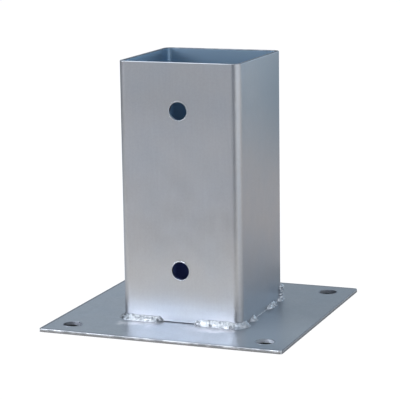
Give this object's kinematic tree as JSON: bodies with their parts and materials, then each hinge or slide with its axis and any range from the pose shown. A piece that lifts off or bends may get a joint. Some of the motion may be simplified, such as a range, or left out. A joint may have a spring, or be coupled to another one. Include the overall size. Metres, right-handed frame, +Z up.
{
  "type": "bolt-down post anchor",
  "caption": "Square galvanised steel socket welded on a square base plate, to hold a timber post clear of a concrete slab.",
  "frame": {"origin": "centre of the base plate's underside, where it lies on the concrete", "axes": "+Z up along the socket; the front wall with the bolt holes faces -Y; +X is to the right seen from the front"},
  "size_m": [0.15, 0.15, 0.156],
  "materials": {
    "galvanised_sheet": "bright zinc coat with a faint rolled grain and soft mottling, satin",
    "weld_metal": "zinc coated weld bead, rippled and bright"
  },
  "bodies": {
    "root": {"base_plate": "galvanised_sheet", "post_socket": "galvanised_sheet", "weld_front_left": "weld_metal", "weld_front_right": "weld_metal", "weld_back_right": "weld_metal", "weld_back_left": "weld_metal", "weld_tack_right_front": "weld_metal", "weld_tack_right_middle": "weld_metal"}
  },
  "joints": []
}
